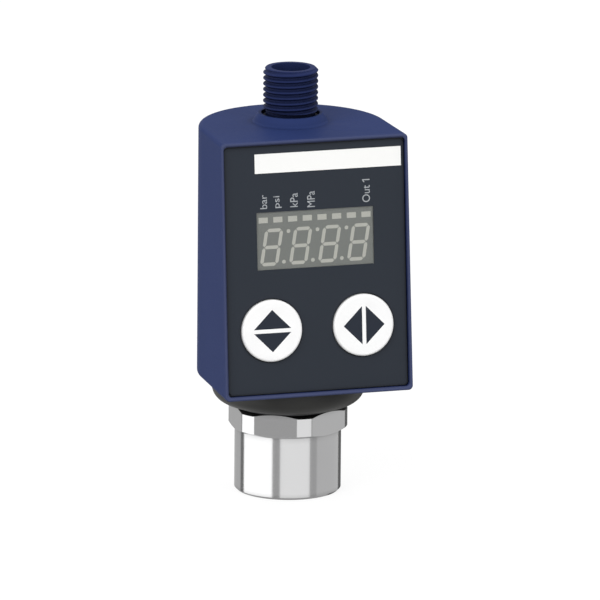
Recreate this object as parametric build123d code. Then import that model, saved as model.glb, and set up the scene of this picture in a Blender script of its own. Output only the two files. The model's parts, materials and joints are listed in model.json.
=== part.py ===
from build123d import *
import math
import os

# Compact electronic pressure sensor: a steel process port, and a moulded head that turns on it.
# All sizes are in millimetres. The origin is the centre of the port's lower face, on the axis
# of its thread. +Z runs up to the plug connector, and the display looks towards -Y.

# Clearances
running_clearance = 0.05
board_clearance = 0.1
seal_rounding = 0.45

# Process port: barrel, hexagon and the hollow neck that the head turns on
port_diameter = 23.2
port_height = 13.9
port_edge = 0.5
hexagon_across_flats = 24.0
hexagon_corner_over_flats = 2.0
hexagon_height = 5.1
hexagon_bevel_angle = 30.0
thread_minor_radius = 5.7225
thread_depth = 12.5
thread_mouth_chamfer = 0.4
channel_radius = 2.0
channel_length = 4.5
neck_wall = 1.75
neck_above_groove = 1.2

# Pressure cell in its chamber, with its seal, clamp ring, pins and board
cell_radius = 9.0
cell_thickness = 6.35
cell_notch_radius = 0.7
chamber_clearance = 0.25
cell_seal_radius = 6.3
cell_seal_width = 2.0
cell_seal_depth = 1.3
clamp_ring_inner_radius = 6.5
clamp_ring_height = 3.0
clamp_slot_width = 2.0
clamp_slot_depth = 1.2
cell_pin_radius = 0.25
cell_pin_pitch = 2.0
cell_pin_row_y = -4.8
cell_pin_tip = 0.6
cell_board_gap = 0.65
cell_board_thickness = 1.0
cell_board_lift = 0.8
signal_chip_size = (6.4, 3.6, 1.1)
signal_chip_y = 4.6
lead_plug_size = (5.0, 2.6, 1.8)

# Bearing of the head: washers, collar, seal, stop pin and circlip
thrust_washer_width = 0.9
thrust_washer_thickness = 0.3
collar_setback = 1.61
collar_height = 6.8
collar_corner_radius = 3.4
collar_cone_angle = 13.8
collar_spigot_step = 0.74
collar_spigot_proud = 0.5
neck_seal_lift = 2.0
neck_seal_height = 1.8
neck_seal_depth = 1.3
turn_each_way = 150.0
turn_margin = 0.4
stop_pin_radius = 1.0
stop_pin_floor = 0.1
stop_pin_reach = 1.9
stop_pin_drop = 1.4
stop_channel_width = 2.25
slip_washer_width = 4.15
slip_washer_inset = 0.7
slip_washer_thickness = 0.5
circlip_thickness = 1.2
circlip_groove_depth = 0.75
circlip_beam = 2.9
circlip_gap_angle = 26.0
circlip_ear_radius = 1.6
circlip_hole_radius = 0.85

# Housing: D shaped in plan, with a front that leans back
housing_height = 55.6
back_centre_y = -2.25
side_flare = 0.55
front_width_y = -20.6
face_foot_y = -23.23
face_foot_lift = 0.93
face_tilt = 5.6
housing_wall = 2.0
housing_fillet = 1.0
rim_fillet = 0.35
rim_width = 0.69
rim_top_width = 0.81
recess_corner = 0.7
boss_wall = 0.6
boss_slope_width = 1.35
boss_height = 2.0
rib_thickness = 1.2
rib_reach = 2.2

# Front: label, plate, window and marking strip, measured inwards from the rim
label_recess = 0.85
label_thickness = 0.3
label_gap = 0.3
plate_thickness = 2.0
plate_clearance = 0.12
strip_left_margin = 7.06
strip_right_margin = 0.86
strip_top_margin = 1.92
strip_height = 4.2
strip_thickness = 0.08
window_width = 26.2
window_height = 12.5
window_height_on_face = 33.3
window_recess = 0.02

# Display: digits, dots and bars in the face of one block
module_clearance = 0.15
module_overlap = 0.4
inlay_depth = 0.3
digit_gap = 2.41
digit_width = 4.1
digit_height = 8.05
digit_drop = 1.4
digit_slant = 10.0
segment_width = 0.75
segment_gap = 0.1
dot_radius = 0.42
dot_spread = 6.57
bar_count = 8
bar_row_margin = 0.525
bar_width = 2.05
bar_height = 1.2
bar_rise = 4.5

# Keys, with their gaskets and switches
key_radius = 6.75
key_margin = 10.06
key_height_on_face = 13.9
key_proud = 0.85
key_edge = 0.55
key_gap = 0.2
key_travel = 0.5
key_wall = 1.15
key_crown = 1.7
key_flange_overlap = 0.6
key_flange_thickness = 0.6
key_stem_radius = 1.6
gasket_margin = 0.4
gasket_thickness = 0.5
arrow_margin = 1.6
arrow_gap = 0.85
arrow_depth = 0.3
plunger_radius = 1.7
plunger_height = 1.8
switch_size = 6.0
switch_height = 3.4
switch_clearance = 0.8

# Boards and what holds them
display_board_margin = 1.1
display_board_bottom = 7.5
display_board_edge = 2.5
board_thickness = 1.6
screw_post_radius = 2.1
screw_post_edge = 2.0
screw_post_clearance = 0.2
rest_post_radius = 1.5
rest_post_edge = 2.1
screw_radius = 0.95
screw_length = 5.0
screw_head_radius = 1.8
screw_head_height = 1.3
main_board_margin = 1.5
main_board_lift = 2.9
main_board_gap = 0.5
header_pins = 8
header_pitch = 2.54
header_pin_radius = 0.32
header_drop = 2.05
header_depth = 2.5
header_pin_tip = 0.8
processor_size = (10.0, 1.4, 10.0)
processor_lift = 24.5
lead_width = 4.0
lead_thickness = 0.5
lead_room = 4.55
lead_sag = 3.2
lead_bend = 1.3
lead_on_board = 5.0
lead_first_bend = 0.35
lead_second_bend = 0.75
lead_last_bend = 0.2

# Plug connector
connector_height = 10.0
connector_radius = 5.95
connector_rim_chamfer = 0.59
connector_bore_radius = 4.23
undercut_depth = 0.6
undercut_height = 0.6
connector_gap = 0.4
connector_flange_margin = 0.4
connector_flange_height = 2.0
connector_seal_lip = 0.05
connector_seal_width = 1.0
connector_seal_depth = 0.8
key_rib_width = 0.9
key_rib_height = 0.5
carrier_depth = 8.7
carrier_flange_step = 0.97
carrier_flange_height = 1.2
carrier_tail = 3.0
contact_radius = 0.5
contact_circle = 2.5
contact_recess = 1.8
contact_tail = 2.5
contact_rounding = 0.3

# Radii worked out from the sizes above
hexagon_corner_diameter = hexagon_across_flats + hexagon_corner_over_flats
chamber_radius = cell_radius + chamber_clearance
cell_board_radius = chamber_radius - cell_board_gap
neck_radius = chamber_radius + neck_wall
stop_pin_depth = neck_wall - stop_pin_floor
thrust_washer_radius = neck_radius + thrust_washer_width
bearing_radius = neck_radius + running_clearance
stop_channel_radius = neck_radius + stop_channel_width
slip_washer_radius = bearing_radius + slip_washer_width
collar_spigot_radius = slip_washer_radius + slip_washer_inset
collar_radius = collar_spigot_radius + collar_spigot_step
back_radius = collar_radius + collar_setback - back_centre_y
connector_hole_radius = connector_radius + connector_gap
connector_rim_radius = connector_radius - connector_rim_chamfer
undercut_radius = connector_radius - undercut_depth
connector_seal_radius = connector_hole_radius + connector_seal_lip + connector_seal_width / 2
connector_flange_radius = connector_seal_radius + connector_seal_width / 2 + connector_flange_margin
carrier_flange_radius = connector_bore_radius + carrier_flange_step
boss_top_radius = connector_hole_radius + boss_wall
boss_foot_radius = boss_top_radius + boss_slope_width
key_flange_radius = key_radius + key_gap + key_flange_overlap
gasket_radius = key_flange_radius + gasket_margin
arrow_reach = key_radius - key_edge - arrow_margin

# Heights worked out from the sizes above
hexagon_bottom = port_height
hexagon_top = hexagon_bottom + hexagon_height
chamber_floor = thread_depth + channel_length
cell_top = chamber_floor + cell_thickness
clamp_top = cell_top + clamp_ring_height
cell_board_bottom = clamp_top + cell_board_lift
cell_board_top = cell_board_bottom + cell_board_thickness
lead_plug_top = cell_board_top + lead_plug_size[2]
collar_bottom = hexagon_top + thrust_washer_thickness
housing_bottom = collar_bottom + collar_height
housing_floor = housing_bottom + housing_wall
collar_top = housing_floor + collar_spigot_proud
slip_washer_bottom = collar_top + running_clearance
circlip_bottom = slip_washer_bottom + slip_washer_thickness
circlip_top = circlip_bottom + circlip_thickness
neck_top = circlip_top + running_clearance + neck_above_groove
stop_pin_z = collar_top - stop_pin_drop
stop_channel_floor = stop_pin_z - stop_pin_radius - 3 * running_clearance
housing_top = housing_bottom + housing_height
housing_roof = housing_top - housing_wall
boss_top = housing_top + boss_height
connector_top = boss_top + connector_height
connector_foot = housing_roof - connector_flange_height
carrier_top = connector_top - carrier_depth
carrier_bottom = connector_foot - carrier_flange_height - carrier_tail
main_board_bottom = max(neck_top + main_board_lift, lead_plug_top + lead_room)
main_board_top = carrier_bottom - main_board_gap
processor_z = main_board_bottom + processor_lift

# Widths and heights on the face
tilt = math.radians(face_tilt)
front_half_width = back_radius + side_flare
recess_width = 2 * (front_half_width - rim_width)
recess_height = (housing_height - face_foot_lift - rim_top_width) / math.cos(tilt)
strip_left = strip_left_margin - recess_width / 2
strip_right = recess_width / 2 - strip_right_margin
strip_top = recess_height - strip_top_margin
strip_bottom = strip_top - strip_height
module_width = window_width + 2 * module_overlap
module_height = window_height + 2 * module_overlap
digit_pitch = digit_width + digit_gap
digit_height_on_face = window_height_on_face - digit_drop
bar_pitch = (window_width - 2 * bar_row_margin - bar_width) / (bar_count - 1)
bar_height_on_face = window_height_on_face + bar_rise
key_spacing = recess_width - 2 * key_margin
main_board_width = 2 * (back_radius - housing_wall - main_board_margin)
display_board_width = 2 * (back_radius - housing_wall - display_board_margin)
screw_post_x = display_board_width / 2 - screw_post_edge
screw_post_rise = module_height / 2 + screw_post_clearance + screw_post_radius
display_board_top = window_height_on_face + screw_post_rise + display_board_edge
rest_post_height = display_board_bottom + rest_post_edge
header_height_on_face = window_height_on_face - module_height / 2 - header_drop

# Depths behind the rim, as negative heights along the face's outward normal
label_front = -label_recess
label_back = label_front - label_thickness
plate_back = label_back - plate_thickness
gasket_back = plate_back - gasket_thickness
flange_front = gasket_back - running_clearance
flange_back = flange_front - key_flange_thickness
switch_front = flange_back - key_travel - switch_clearance
plunger_front = switch_front + key_travel + 2 * running_clearance
board_front = switch_front - switch_height
board_back = board_front - board_thickness

# The face's own frame: X along the width, Y up the sloping face, Z out towards the reader
face_plane = Plane(
    origin=(0, face_foot_y, housing_bottom + face_foot_lift),
    x_dir=(1, 0, 0),
    z_dir=(0, -math.cos(tilt), math.sin(tilt)),
)
face = face_plane.location

from_below = (Align.CENTER, Align.CENTER, Align.MIN)
key_sides = {"left": -1, "right": 1}


def disc(radius, low, high, x=0, y=0):
    """Upright cylinder between two heights."""
    return Pos(x, y, low) * Cylinder(radius, high - low, align=from_below)


def ring(inner, outer, low, high):
    """Upright tube on the port's axis."""
    return disc(outer, low, high) - disc(inner, low, high)


def block(width, depth, low, high, x=0, y=0):
    """Upright box between two heights."""
    return Pos(x, y, low) * Box(width, depth, high - low, align=from_below)


def turned(points):
    """Solid of revolution about the port's axis from (radius, height) points."""
    outline = Plane.XZ * Polyline(*points, close=True)
    return revolve(make_face(outline), Axis.Z)


def face_disc(x, y, radius, back, front):
    """Cylinder square to the sloping face, between two depths."""
    return face * Pos(x, y, back) * Cylinder(radius, front - back, align=from_below)


def face_slab(x, y, width, height, back, front, corner=0):
    """Plate parallel to the sloping face, between two depths."""
    outline = RectangleRounded(width, height, corner) if corner else Rectangle(width, height)
    return face * Pos(x, y, back) * extrude(outline, front - back)


def group(solids):
    """Several separate solids as one node."""
    return Compound(children=list(solids))


# Process port side


def make_process_port():
    """Turned port: barrel, hexagon with bevelled corners, and a hollow neck with a groove."""
    barrel_radius = port_diameter / 2
    corner_radius = hexagon_corner_diameter / 2
    bevel_width = corner_radius - hexagon_across_flats / 2
    bevel_drop = bevel_width * math.tan(math.radians(hexagon_bevel_angle))
    flat_radius = corner_radius - bevel_width
    nut_blank = turned(
        [
            (0, hexagon_bottom),
            (flat_radius, hexagon_bottom),
            (corner_radius, hexagon_bottom + bevel_drop),
            (corner_radius, hexagon_top - bevel_drop),
            (flat_radius, hexagon_top),
            (0, hexagon_top),
        ]
    )
    prism = extrude(RegularPolygon(hexagon_across_flats / 2, 6, major_radius=False), hexagon_height)
    hexagon = nut_blank & (Pos(0, 0, hexagon_bottom) * Rot(0, 0, 30) * prism)
    barrel = turned(
        [
            (0, 0),
            (barrel_radius - port_edge, 0),
            (barrel_radius, port_edge),
            (barrel_radius, hexagon_bottom),
            (0, hexagon_bottom),
        ]
    )
    mouth_radius = thread_minor_radius + thread_mouth_chamfer
    seal_inner = cell_seal_radius - cell_seal_width / 2
    seal_outer = cell_seal_radius + cell_seal_width / 2
    hollow = turned(
        [
            (0, 0),
            (mouth_radius, 0),
            (thread_minor_radius, thread_mouth_chamfer),
            (thread_minor_radius, thread_depth),
            (channel_radius, thread_depth),
            (channel_radius, chamber_floor),
            (chamber_radius, chamber_floor),
            (chamber_radius, neck_top),
            (0, neck_top),
        ]
    )
    port = barrel + hexagon + disc(neck_radius, hexagon_top, neck_top) - hollow
    port -= ring(seal_inner, seal_outer, chamber_floor - cell_seal_depth, chamber_floor)
    groove_floor = neck_radius - circlip_groove_depth
    port -= ring(groove_floor, neck_radius, circlip_bottom, circlip_top + running_clearance)
    return port - stop_pin_shape()


def stop_pin_shape():
    """Radial dowel that looks out of the neck at the back."""
    length = stop_pin_depth + stop_pin_reach
    start = neck_radius - stop_pin_depth
    lying = Rot(-90, 0, 0) * Cylinder(stop_pin_radius, length, align=from_below)
    return Pos(0, start, stop_pin_z) * lying


def make_cell_seal():
    """O-ring squeezed flat in its groove under the cell."""
    section = RectangleRounded(cell_seal_width, cell_seal_depth, seal_rounding * cell_seal_depth)
    placed = Plane.XZ * Pos(cell_seal_radius, chamber_floor - cell_seal_depth / 2) * section
    return revolve(placed, Axis.Z)


def make_pressure_cell():
    """Ceramic disc with three small locating notches round its edge."""
    cell = disc(cell_radius, chamber_floor, cell_top)
    for notch in PolarLocations(cell_radius, 3, start_angle=90):
        cell -= notch * disc(cell_notch_radius, chamber_floor, cell_top)
    return cell


def make_clamp_ring():
    """Ring screwed down on the cell, with four slots for its key."""
    clamp = ring(clamp_ring_inner_radius, cell_radius, cell_top, clamp_top)
    slot_bottom = clamp_top - clamp_slot_depth
    clamp -= block(2 * cell_radius, clamp_slot_width, slot_bottom, clamp_top)
    clamp -= block(clamp_slot_width, 2 * cell_radius, slot_bottom, clamp_top)
    return clamp


def cell_pin_places():
    """The four pins stand in one row."""
    return [(cell_pin_pitch * (i - 1.5), cell_pin_row_y) for i in range(4)]


def make_cell_pins():
    """Straight pins from the cell up through its board."""
    tip = cell_board_top + cell_pin_tip
    return group(disc(cell_pin_radius, cell_top, tip, x, y) for x, y in cell_pin_places())


def make_cell_board():
    """Round board, drilled for the pins."""
    board = disc(cell_board_radius, cell_board_bottom, cell_board_top)
    for x, y in cell_pin_places():
        hole = cell_pin_radius + running_clearance
        board -= disc(hole, cell_board_bottom, cell_board_top, x, y)
    return board


def make_signal_chip():
    """Converter chip on the cell's board."""
    width, depth, height = signal_chip_size
    return block(width, depth, cell_board_top, cell_board_top + height, y=signal_chip_y)


def make_lead_plug():
    """Plug in the middle of the cell's board, on the axis that the head turns about."""
    width, depth, height = lead_plug_size
    return block(width, depth, cell_board_top, lead_plug_top)


def make_retaining_ring():
    """Circlip with two pierced ears at its gap."""
    inner = neck_radius - circlip_groove_depth + running_clearance
    outer = inner + circlip_beam
    sketch = Circle(outer)
    ear_centre = outer - circlip_ear_radius / 4
    half_gap = circlip_gap_angle / 2
    ear_turn = half_gap + math.degrees(circlip_ear_radius / ear_centre)
    ears = [Rot(0, 0, side * ear_turn) * Pos(ear_centre, 0) for side in (-1, 1)]
    for ear in ears:
        sketch += ear * Circle(circlip_ear_radius)
    sketch -= Circle(inner)
    for ear in ears:
        sketch -= ear * Circle(circlip_hole_radius)
    reach = 2 * outer
    gap_y = reach * math.tan(math.radians(half_gap))
    sketch -= make_face(Polyline((0, 0), (reach, -gap_y), (reach, gap_y), close=True))
    return Pos(0, 0, circlip_bottom) * extrude(sketch, circlip_thickness)


# Head side: bearing


def make_base_collar():
    """Bowl shaped collar with a bore for the neck, a seal groove and a channel for the stop pin."""
    rise = math.tan(math.radians(collar_cone_angle))
    corner_z = collar_bottom + (collar_radius - thrust_washer_radius) * rise
    section = make_face(
        Polyline(
            (bearing_radius, collar_bottom),
            (thrust_washer_radius, collar_bottom),
            (collar_radius, corner_z),
            (collar_radius, housing_bottom),
            (collar_spigot_radius, housing_bottom),
            (collar_spigot_radius, collar_top),
            (stop_channel_radius, collar_top),
            (stop_channel_radius, stop_channel_floor),
            (bearing_radius, stop_channel_floor),
            close=True,
        )
    )
    corner = section.vertices().sort_by_distance((collar_radius, corner_z, 0))[0]
    section = fillet(corner, collar_corner_radius)
    collar = revolve(Plane.XZ * section, Axis.Z)
    seal_low = collar_bottom + neck_seal_lift
    groove = bearing_radius + neck_seal_depth
    collar -= ring(bearing_radius, groove, seal_low, seal_low + neck_seal_height)
    pin_angle = math.degrees(math.asin(stop_pin_radius / neck_radius))
    half_angle = 180 - turn_each_way - pin_angle - turn_margin
    reach = 2 * stop_channel_radius
    side = reach * math.tan(math.radians(half_angle))
    wedge = make_face(Polyline((0, 0), (-side, -reach), (side, -reach), close=True))
    wedge = Pos(0, 0, stop_channel_floor) * extrude(wedge, collar_top - stop_channel_floor)
    stop = wedge & ring(bearing_radius, stop_channel_radius, stop_channel_floor, collar_top)
    return collar + stop


def make_neck_seal():
    """O-ring in the collar's groove, running on the neck."""
    low = collar_bottom + neck_seal_lift
    width = neck_seal_depth
    section = RectangleRounded(width, neck_seal_height, seal_rounding * width)
    centre = bearing_radius + width / 2
    placed = Plane.XZ * Pos(centre, low + neck_seal_height / 2) * section
    return revolve(placed, Axis.Z)


# Head side: housing and connector


def housing_plan(inset):
    """Plan of the case: a round back, and sides that spread slightly to the front."""
    radius = back_radius - inset
    spread = (front_half_width - back_radius) / (back_centre_y - front_width_y)
    front_y = face_foot_y - 2
    front_x = radius + spread * (back_centre_y - front_y)
    outline = CenterArc((0, back_centre_y), radius, 0, 180)
    outline += Line((-radius, back_centre_y), (-front_x, front_y))
    outline += Line((-front_x, front_y), (front_x, front_y))
    outline += Line((front_x, front_y), (radius, back_centre_y))
    return make_face(outline)


def make_housing():
    """Moulded case, open at the front, with a rebate for the plate and a boss for the plug."""
    case = Pos(0, 0, housing_bottom) * extrude(housing_plan(0), housing_height)
    ahead = face_slab(0, recess_height / 2, 3 * recess_width, 2 * recess_height, 0, recess_width)
    case -= ahead
    front_edges = case.faces().sort_by_distance(face_plane.origin)[0].edges()
    ends = case.faces().filter_by(Axis.Z)
    case = fillet([edge for end in ends for edge in end.edges() if edge not in front_edges], housing_fillet)
    case = fillet(case.faces().sort_by_distance(face_plane.origin)[0].edges(), rim_fillet)
    boss = turned(
        [
            (0, housing_roof),
            (boss_foot_radius, housing_roof),
            (boss_foot_radius, housing_top),
            (boss_top_radius, boss_top),
            (0, boss_top),
        ]
    )
    case += boss
    inner_height = housing_roof - housing_floor
    cavity = Pos(0, 0, housing_floor) * extrude(housing_plan(housing_wall), inner_height)
    case -= cavity
    case -= face_slab(
        0, recess_height / 2, recess_width, recess_height, plate_back, label_recess, recess_corner
    )
    case -= disc(collar_spigot_radius + running_clearance, housing_bottom, housing_floor)
    case -= disc(connector_hole_radius, housing_roof, boss_top)
    return case + guide_ribs()


def guide_ribs():
    """Two pairs of upright ribs that the main board slides between."""
    root_x = back_radius - housing_wall / 2
    tip_x = main_board_width / 2 - rib_reach
    middle = (root_x + tip_x) / 2
    offset = board_thickness / 2 + board_clearance + rib_thickness / 2
    ribs = []
    for side in (-1, 1):
        for way in (-1, 1):
            x = side * middle
            y = way * offset
            ribs.append(block(root_x - tip_x, rib_thickness, main_board_bottom, housing_roof, x, y))
    return Part() + ribs


def make_connector_shell():
    """Round plug body: flange inside the case, smooth shank, undercut and threaded barrel."""
    undercut_top = boss_top + undercut_height
    shell = turned(
        [
            (connector_bore_radius, connector_foot),
            (connector_flange_radius, connector_foot),
            (connector_flange_radius, housing_roof),
            (connector_radius, housing_roof),
            (connector_radius, boss_top - undercut_height),
            (undercut_radius, boss_top - undercut_height),
            (undercut_radius, undercut_top),
            (connector_radius, undercut_top),
            (connector_radius, connector_top - connector_rim_chamfer),
            (connector_rim_radius, connector_top),
            (connector_bore_radius, connector_top),
        ]
    )
    seal_inner = connector_seal_radius - connector_seal_width / 2
    seal_outer = connector_seal_radius + connector_seal_width / 2
    shell -= ring(seal_inner, seal_outer, housing_roof - connector_seal_depth, housing_roof)
    rib_high = connector_top - contact_recess
    rib_y = key_rib_height / 2 - connector_bore_radius - running_clearance
    rib_depth = key_rib_height + 2 * running_clearance
    rib = block(key_rib_width, rib_depth, carrier_top, rib_high, y=rib_y)
    return shell + rib


def make_connector_seal():
    """O-ring squeezed between the flange and the case's roof."""
    corner = seal_rounding * connector_seal_depth
    section = RectangleRounded(connector_seal_width, connector_seal_depth, corner)
    placed = Plane.XZ * Pos(connector_seal_radius, housing_roof - connector_seal_depth / 2) * section
    return revolve(placed, Axis.Z)


def contact_places():
    """Four contacts on a circle, between the two main directions."""
    step = contact_circle * math.sqrt(0.5)
    return [(x, y) for x in (-step, step) for y in (-step, step)]


def make_contact_carrier():
    """Insulating insert with a flange below the plug body and a hole for each contact."""
    radius = connector_bore_radius - running_clearance / 2
    carrier = turned(
        [
            (0, carrier_bottom),
            (radius, carrier_bottom),
            (radius, connector_foot - carrier_flange_height),
            (carrier_flange_radius, connector_foot - carrier_flange_height),
            (carrier_flange_radius, connector_foot),
            (radius, connector_foot),
            (radius, carrier_top),
            (0, carrier_top),
        ]
    )
    for x, y in contact_places():
        carrier -= disc(contact_radius, carrier_bottom, carrier_top, x, y)
    return carrier


def make_contact_pins():
    """Four round contacts with domed ends, and tails that straddle the main board."""
    low = main_board_top - contact_tail
    high = connector_top - contact_recess
    pins = []
    for x, y in contact_places():
        pin = disc(contact_radius, low, high, x, y)
        pins.append(fillet(pin.edges().sort_by(Axis.Z)[-1], contact_rounding))
    return group(pins)


# Head side: front


def key_places():
    """Middle of each key on the face."""
    return {side: (sign * key_spacing / 2, key_height_on_face) for side, sign in key_sides.items()}


def make_front_label():
    """Foil with openings for the window and the keys."""
    width = recess_width - 2 * label_gap
    height = recess_height - 2 * label_gap
    label = face_slab(0, recess_height / 2, width, height, label_back, label_front, recess_corner)
    label -= face_slab(0, window_height_on_face, window_width, window_height, label_back, label_front)
    for x, y in key_places().values():
        label -= face_disc(x, y, key_radius + key_gap, label_back, label_front)
    return label


def make_marking_strip():
    """Thin blank strip near the top of the label."""
    x = (strip_left + strip_right) / 2
    y = (strip_bottom + strip_top) / 2
    width = strip_right - strip_left
    height = strip_top - strip_bottom
    return face_slab(x, y, width, height, label_front, label_front + strip_thickness)


def make_display_window():
    """Clear pane that fills the label's opening."""
    return face_slab(
        0, window_height_on_face, window_width, window_height, label_back, label_front - window_recess
    )


def post_places():
    """Screw posts, in pairs above and below the display."""
    heights = [window_height_on_face + way * screw_post_rise for way in (-1, 1)]
    return [(sign * screw_post_x, y) for sign in (-1, 1) for y in heights]


def make_front_plate():
    """Plate with openings for the display and keys, four screw posts and a rest post."""
    width = recess_width - 2 * plate_clearance
    height = recess_height - 2 * plate_clearance
    plate = face_slab(0, recess_height / 2, width, height, plate_back, label_back, recess_corner)
    opening_width = module_width + 2 * module_clearance
    opening_height = module_height + 2 * module_clearance
    plate -= face_slab(
        0, window_height_on_face, opening_width, opening_height, plate_back, label_back
    )
    for x, y in key_places().values():
        plate -= face_disc(x, y, key_radius + key_gap, plate_back, label_back)
    for x, y in post_places():
        plate += face_disc(x, y, screw_post_radius, board_front, plate_back)
        plate -= face_disc(x, y, screw_radius, board_front, board_front + screw_length)
    return plate + face_disc(0, rest_post_height, rest_post_radius, board_front, plate_back)


def segment_outline(start, end):
    """Six sided light segment between two corners of a digit, before the slant."""
    half = segment_width / 2
    length = math.dist(start, end)
    along = ((end[0] - start[0]) / length, (end[1] - start[1]) / length)
    across = (-along[1], along[0])
    ends = [
        (segment_gap, 0),
        (segment_gap + half, half),
        (length - segment_gap - half, half),
        (length - segment_gap, 0),
        (length - segment_gap - half, -half),
        (segment_gap + half, -half),
    ]
    points = []
    for run, off in ends:
        x = start[0] + along[0] * run + across[0] * off
        y = start[1] + along[1] * run + across[1] * off
        points.append((x + y * math.tan(math.radians(digit_slant)), y))
    return make_face(Polyline(*points, close=True))


def digit_sketch():
    """Seven segments of one digit about its centre."""
    x = (digit_width - segment_width) / 2
    y = (digit_height - segment_width) / 2
    corners = [
        ((-x, y), (x, y)),
        ((-x, 0), (x, 0)),
        ((-x, -y), (x, -y)),
        ((-x, y), (-x, 0)),
        ((x, y), (x, 0)),
        ((-x, 0), (-x, -y)),
        ((x, 0), (x, -y)),
    ]
    return [segment_outline(start, end) for start, end in corners]


def inlay(sketch, x, y):
    """Light piece let into the display's face."""
    return face * Pos(x, y, label_back - inlay_depth) * extrude(sketch, inlay_depth)


def make_digit_segments():
    """Segments of the four digits."""
    solids = []
    for i in range(4):
        x = digit_pitch * (i - 1.5)
        solids += [inlay(segment, x, digit_height_on_face) for segment in digit_sketch()]
    return group(solids)


def make_digit_dots():
    """A dot below and a dot above, between each two digits, on the digits' slant."""
    lean = math.tan(math.radians(digit_slant)) * dot_spread / 2
    rise = digit_height_on_face
    solids = []
    for i in range(3):
        x = digit_pitch * (i - 1)
        solids.append(inlay(Circle(dot_radius), x + lean, rise + dot_spread / 2))
        solids.append(inlay(Circle(dot_radius), x - lean, rise - dot_spread / 2))
    return group(solids)


def make_unit_bars():
    """Row of bars above the digits."""
    bar = Rectangle(bar_width, bar_height)
    places = [bar_pitch * (i - (bar_count - 1) / 2) for i in range(bar_count)]
    return group(inlay(bar, x, bar_height_on_face) for x in places)


def make_display_module():
    """Block on the display board, with pockets for every light piece."""
    block_shape = face_slab(
        0, window_height_on_face, module_width, module_height, board_front, label_back
    )
    for lights in (make_digit_segments(), make_digit_dots(), make_unit_bars()):
        block_shape -= lights.solids()
    return block_shape


# Head side: boards


def header_places():
    """Pins of the link between the boards, in one row."""
    return [header_pitch * (i - (header_pins - 1) / 2) for i in range(header_pins)]


def header_z():
    """Height of the link between the boards."""
    middle = (board_front + board_back) / 2
    return face_plane.origin.Z + header_height_on_face * math.cos(tilt) + middle * math.sin(tilt)


def header_rod(x, radius, start, end):
    """Rod along Y at the link's height."""
    lying = Rot(-90, 0, 0) * Cylinder(radius, end - start, align=from_below)
    return Pos(x, start, header_z()) * lying


def header_front_y():
    """Front end of the link's pins, just past the display board."""
    along = header_height_on_face * math.sin(tilt)
    return face_plane.origin.Y + along - board_front * math.cos(tilt) - header_pin_tip


def make_display_board():
    """Board behind the front plate, drilled for its screws and for the link's pins."""
    height = display_board_top - display_board_bottom
    middle = (display_board_top + display_board_bottom) / 2
    board = face_slab(0, middle, display_board_width, height, board_back, board_front)
    for x, y in post_places():
        board -= face_disc(x, y, screw_radius + board_clearance, board_back, board_front)
    for x in header_places():
        board -= header_rod(x, header_pin_radius + board_clearance, header_front_y(), 0)
    return board


def make_board_screws():
    """Pan head screws from behind the display board into the posts."""
    screws = []
    for x, y in post_places():
        tip = board_front + screw_length
        head = face_disc(x, y, screw_head_radius, board_back - screw_head_height, board_back)
        screws.append(head + face_disc(x, y, screw_radius, board_back, tip))
    return group(screws)


def make_main_board():
    """Upright board in the housing's ribs, on the axis of the head."""
    board = block(main_board_width, board_thickness, main_board_bottom, main_board_top)
    half = board_thickness / 2
    for x in header_places():
        board -= header_rod(x, header_pin_radius + running_clearance, -half, half)
    return board


def make_board_header():
    """Plastic strip that holds the link's pins on the main board."""
    half = board_thickness / 2
    length = header_pins * header_pitch
    low = header_z() - header_pitch / 2
    strip = block(length, header_depth, low, low + header_pitch, y=-half - header_depth / 2)
    for x in header_places():
        strip -= header_rod(x, header_pin_radius, -half - header_depth, -half)
    return strip


def make_board_pins():
    """Pins of the link, from the display board through the main board."""
    end = board_thickness / 2 + header_pin_tip
    return group(header_rod(x, header_pin_radius, header_front_y(), end) for x in header_places())


def make_processor_chip():
    """Main chip on the back of the main board."""
    width, depth, height = processor_size
    y = board_thickness / 2 + depth / 2
    return block(width, depth, processor_z - height / 2, processor_z + height / 2, y=y)


def make_signal_lead():
    """Flat flexible lead from the plug on the axis up to the main board's front."""
    board_y = -(board_thickness + lead_thickness) / 2
    rise = main_board_bottom - lead_plug_top
    path = FilletPolyline(
        (0, lead_plug_top),
        (0, lead_plug_top + lead_first_bend * rise),
        (-lead_sag, lead_plug_top + lead_second_bend * rise),
        (board_y, main_board_bottom + lead_last_bend * lead_on_board),
        (board_y, main_board_bottom + lead_on_board),
        radius=lead_bend,
    )
    ribbon = trace(path, line_width=lead_thickness)
    return extrude(Plane.YZ * ribbon, lead_width / 2, both=True)


# Keys


def arrow_sketch(side):
    """Two triangles back to back: one above the other on the left key, side by side on the right."""
    half = arrow_gap / 2
    tip = arrow_reach
    base = arrow_reach - half
    upper = make_face(Polyline((-base, half), (base, half), (0, tip), close=True))
    pair = [upper, Rot(0, 0, 180) * upper]
    if side == "right":
        pair = [Rot(0, 0, 90) * one for one in pair]
    return pair


def make_key_arrows(side, x, y):
    """Dark arrows let into the key's front."""
    top = label_front + key_proud
    low = top - arrow_depth
    return group(face * Pos(x, y, low) * extrude(one, arrow_depth) for one in arrow_sketch(side))


def make_key(side, x, y):
    """Round cap with a soft edge, a flange behind the gasket and a stem to the switch."""
    top = label_front + key_proud
    crown = face_disc(x, y, key_radius, flange_front, top)
    crown = fillet(crown.edges().sort_by(Axis((0, 0, 0), face_plane.z_dir))[-1], key_edge)
    cap = crown + face_disc(x, y, key_flange_radius, flange_back, flange_front)
    cap -= face_disc(x, y, key_radius - key_wall, flange_back, top - key_crown)
    cap += face_disc(x, y, key_stem_radius, plunger_front, top - key_crown)
    return cap - make_key_arrows(side, x, y).solids()


def make_gasket(x, y):
    """Soft ring behind the plate that the key's flange seals against."""
    outer = face_disc(x, y, gasket_radius, gasket_back, plate_back)
    return outer - face_disc(x, y, key_radius + key_gap / 2, gasket_back, plate_back)


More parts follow.
